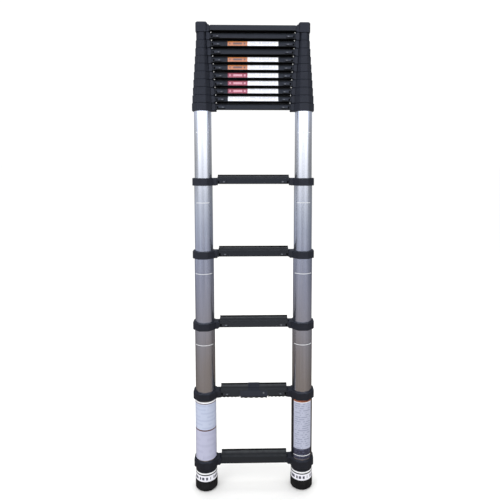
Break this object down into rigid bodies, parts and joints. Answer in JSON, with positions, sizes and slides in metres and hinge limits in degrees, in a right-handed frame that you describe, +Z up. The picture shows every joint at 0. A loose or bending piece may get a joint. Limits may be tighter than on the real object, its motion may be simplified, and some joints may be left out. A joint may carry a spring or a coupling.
{
  "type": "telescoping ladder",
  "caption": "Telescoping ladder of nested aluminium tubes with moulded collars, thumb latches, a squeeze release and rubber feet; lower rungs drawn out, upper rungs stacked.",
  "frame": {"origin": "on the floor, midway between the two feet, under the stile axes", "axes": "+Z up along the stiles, +X towards the right stile seen by the climber, -Y towards the climber"},
  "size_m": [0.51, 0.1, 1.9501],
  "materials": {
    "anodised_aluminium": "satin anodised",
    "black_nylon": "moulded, fine texture",
    "latch_nylon": "moulded, smooth",
    "foot_rubber": "moulded rubber",
    "label_white": "printed film"
  },
  "bodies": {
    "section_01": {"stile_tubes_01": "anodised_aluminium", "steps_01": "black_nylon", "rubber_feet": "foot_rubber"},
    "section_02": {"stile_tubes_02": "anodised_aluminium", "steps_02": "black_nylon"},
    "section_03": {"stile_tubes_03": "anodised_aluminium", "steps_03": "black_nylon"},
    "section_04": {"stile_tubes_04": "anodised_aluminium", "steps_04": "black_nylon"},
    "section_05": {"stile_tubes_05": "anodised_aluminium", "steps_05": "black_nylon"},
    "section_06": {"stile_tubes_06": "anodised_aluminium", "steps_06": "black_nylon"},
    "section_07": {"stile_tubes_07": "anodised_aluminium", "steps_07": "black_nylon"},
    "section_08": {"stile_tubes_08": "anodised_aluminium", "steps_08": "black_nylon"},
    "section_09": {"stile_tubes_09": "anodised_aluminium", "steps_09": "black_nylon"},
    "section_10": {"stile_tubes_10": "anodised_aluminium", "steps_10": "black_nylon"},
    "section_11": {"stile_tubes_11": "anodised_aluminium", "steps_11": "black_nylon"},
    "section_12": {"stile_tubes_12": "anodised_aluminium", "steps_12": "black_nylon"},
    "section_13": {"stile_tubes_13": "anodised_aluminium", "steps_13": "black_nylon"},
    "section_14": {"stile_tubes_14": "anodised_aluminium", "steps_14": "black_nylon"},
    "section_15": {"stile_tubes_15": "anodised_aluminium", "steps_15": "black_nylon"},
    "latch_left_01": {"latch_left_01": "latch_nylon"},
    "latch_right_01": {"latch_right_01": "latch_nylon"},
    "latch_left_02": {"latch_left_02": "latch_nylon"},
    "latch_right_02": {"latch_right_02": "latch_nylon"},
    "latch_left_03": {"latch_left_03": "latch_nylon"},
    "latch_right_03": {"latch_right_03": "latch_nylon"},
    "latch_left_04": {"latch_left_04": "latch_nylon"},
    "latch_right_04": {"latch_right_04": "latch_nylon"},
    "latch_left_05": {"latch_left_05": "latch_nylon"},
    "latch_right_05": {"latch_right_05": "latch_nylon"},
    "latch_left_06": {"latch_left_06": "latch_nylon"},
    "latch_right_06": {"latch_right_06": "latch_nylon"},
    "latch_left_07": {"latch_left_07": "latch_nylon"},
    "latch_right_07": {"latch_right_07": "latch_nylon"},
    "latch_left_08": {"latch_left_08": "latch_nylon"},
    "latch_right_08": {"latch_right_08": "latch_nylon"},
    "latch_left_09": {"latch_left_09": "latch_nylon"},
    "latch_right_09": {"latch_right_09": "latch_nylon"},
    "latch_left_10": {"latch_left_10": "latch_nylon"},
    "latch_right_10": {"latch_right_10": "latch_nylon"},
    "latch_left_11": {"latch_left_11": "latch_nylon"},
    "latch_right_11": {"latch_right_11": "latch_nylon"},
    "latch_left_12": {"latch_left_12": "latch_nylon"},
    "latch_right_12": {"latch_right_12": "latch_nylon"},
    "latch_left_13": {"latch_left_13": "latch_nylon"},
    "latch_right_13": {"latch_right_13": "latch_nylon"},
    "latch_left_14": {"latch_left_14": "latch_nylon"},
    "latch_right_14": {"latch_right_14": "latch_nylon"},
    "release_grip": {"release_grip": "latch_nylon"}
  },
  "joints": [
    {"name": "section_02_slide", "type": "slide", "parent": "section_01", "child": "section_02", "axis": [0, 0, 1], "range_m": [-0.269, 0]},
    {"name": "section_03_slide", "type": "slide", "parent": "section_02", "child": "section_03", "axis": [0, 0, 1], "range_m": [-0.269, 0]},
    {"name": "section_04_slide", "type": "slide", "parent": "section_03", "child": "section_04", "axis": [0, 0, 1], "range_m": [-0.269, 0]},
    {"name": "section_05_slide", "type": "slide", "parent": "section_04", "child": "section_05", "axis": [0, 0, 1], "range_m": [-0.269, 0]},
    {"name": "section_06_slide", "type": "slide", "parent": "section_05", "child": "section_06", "axis": [0, 0, 1], "range_m": [0, 0.269]},
    {"name": "section_07_slide", "type": "slide", "parent": "section_06", "child": "section_07", "axis": [0, 0, 1], "range_m": [0, 0.269]},
    {"name": "section_08_slide", "type": "slide", "parent": "section_07", "child": "section_08", "axis": [0, 0, 1], "range_m": [0, 0.269]},
    {"name": "section_09_slide", "type": "slide", "parent": "section_08", "child": "section_09", "axis": [0, 0, 1], "range_m": [0, 0.269]},
    {"name": "section_10_slide", "type": "slide", "parent": "section_09", "child": "section_10", "axis": [0, 0, 1], "range_m": [0, 0.269]},
    {"name": "section_11_slide", "type": "slide", "parent": "section_10", "child": "section_11", "axis": [0, 0, 1], "range_m": [0, 0.269]},
    {"name": "section_12_slide", "type": "slide", "parent": "section_11", "child": "section_12", "axis": [0, 0, 1], "range_m": [0, 0.269]},
    {"name": "section_13_slide", "type": "slide", "parent": "section_12", "child": "section_13", "axis": [0, 0, 1], "range_m": [0, 0.269]},
    {"name": "section_14_slide", "type": "slide", "parent": "section_13", "child": "section_14", "axis": [0, 0, 1], "range_m": [0, 0.269]},
    {"name": "section_15_slide", "type": "slide", "parent": "section_14", "child": "section_15", "axis": [0, 0, 1], "range_m": [0, 0.269]},
    {"name": "latch_left_01_slide", "type": "slide", "parent": "section_01", "child": "latch_left_01", "axis": [-1, 0, 0], "range_m": [0, 0.006]},
    {"name": "latch_right_01_slide", "type": "slide", "parent": "section_01", "child": "latch_right_01", "axis": [1, 0, 0], "range_m": [0, 0.006]},
    {"name": "latch_left_02_slide", "type": "slide", "parent": "section_02", "child": "latch_left_02", "axis": [-1, 0, 0], "range_m": [0, 0.006]},
    {"name": "latch_right_02_slide", "type": "slide", "parent": "section_02", "child": "latch_right_02", "axis": [1, 0, 0], "range_m": [0, 0.006]},
    {"name": "latch_left_03_slide", "type": "slide", "parent": "section_03", "child": "latch_left_03", "axis": [-1, 0, 0], "range_m": [0, 0.006]},
    {"name": "latch_right_03_slide", "type": "slide", "parent": "section_03", "child": "latch_right_03", "axis": [1, 0, 0], "range_m": [0, 0.006]},
    {"name": "latch_left_04_slide", "type": "slide", "parent": "section_04", "child": "latch_left_04", "axis": [-1, 0, 0], "range_m": [0, 0.006]},
    {"name": "latch_right_04_slide", "type": "slide", "parent": "section_04", "child": "latch_right_04", "axis": [1, 0, 0], "range_m": [0, 0.006]},
    {"name": "latch_left_05_slide", "type": "slide", "parent": "section_05", "child": "latch_left_05", "axis": [-1, 0, 0], "range_m": [0, 0.006]},
    {"name": "latch_right_05_slide", "type": "slide", "parent": "section_05", "child": "latch_right_05", "axis": [1, 0, 0], "range_m": [0, 0.006]},
    {"name": "latch_left_06_slide", "type": "slide", "parent": "section_06", "child": "latch_left_06", "axis": [-1, 0, 0], "range_m": [0, 0.006]},
    {"name": "latch_right_06_slide", "type": "slide", "parent": "section_06", "child": "latch_right_06", "axis": [1, 0, 0], "range_m": [0, 0.006]},
    {"name": "latch_left_07_slide", "type": "slide", "parent": "section_07", "child": "latch_left_07", "axis": [-1, 0, 0], "range_m": [0, 0.006]},
    {"name": "latch_right_07_slide", "type": "slide", "parent": "section_07", "child": "latch_right_07", "axis": [1, 0, 0], "range_m": [0, 0.006]},
    {"name": "latch_left_08_slide", "type": "slide", "parent": "section_08", "child": "latch_left_08", "axis": [-1, 0, 0], "range_m": [0, 0.006]},
    {"name": "latch_right_08_slide", "type": "slide", "parent": "section_08", "child": "latch_right_08", "axis": [1, 0, 0], "range_m": [0, 0.006]},
    {"name": "latch_left_09_slide", "type": "slide", "parent": "section_09", "child": "latch_left_09", "axis": [-1, 0, 0], "range_m": [0, 0.006]},
    {"name": "latch_right_09_slide", "type": "slide", "parent": "section_09", "child": "latch_right_09", "axis": [1, 0, 0], "range_m": [0, 0.006]},
    {"name": "latch_left_10_slide", "type": "slide", "parent": "section_10", "child": "latch_left_10", "axis": [-1, 0, 0], "range_m": [0, 0.006]},
    {"name": "latch_right_10_slide", "type": "slide", "parent": "section_10", "child": "latch_right_10", "axis": [1, 0, 0], "range_m": [0, 0.006]},
    {"name": "latch_left_11_slide", "type": "slide", "parent": "section_11", "child": "latch_left_11", "axis": [-1, 0, 0], "range_m": [0, 0.006]},
    {"name": "latch_right_11_slide", "type": "slide", "parent": "section_11", "child": "latch_right_11", "axis": [1, 0, 0], "range_m": [0, 0.006]},
    {"name": "latch_left_12_slide", "type": "slide", "parent": "section_12", "child": "latch_left_12", "axis": [-1, 0, 0], "range_m": [0, 0.006]},
    {"name": "latch_right_12_slide", "type": "slide", "parent": "section_12", "child": "latch_right_12", "axis": [1, 0, 0], "range_m": [0, 0.006]},
    {"name": "latch_left_13_slide", "type": "slide", "parent": "section_13", "child": "latch_left_13", "axis": [-1, 0, 0], "range_m": [0, 0.006]},
    {"name": "latch_right_13_slide", "type": "slide", "parent": "section_13", "child": "latch_right_13", "axis": [1, 0, 0], "range_m": [0, 0.006]},
    {"name": "latch_left_14_slide", "type": "slide", "parent": "section_14", "child": "latch_left_14", "axis": [-1, 0, 0], "range_m": [0, 0.006]},
    {"name": "latch_right_14_slide", "type": "slide", "parent": "section_14", "child": "latch_right_14", "axis": [1, 0, 0], "range_m": [0, 0.006]},
    {"name": "release_grip_squeeze", "type": "slide", "parent": "section_01", "child": "release_grip", "axis": [0, 0, 1], "range_m": [-0.006, 0]}
  ],
  "couplings": [
    {"joint": "latch_left_01_slide", "follows": "release_grip_squeeze", "ratio": -1},
    {"joint": "latch_right_01_slide", "follows": "release_grip_squeeze", "ratio": -1}
  ]
}
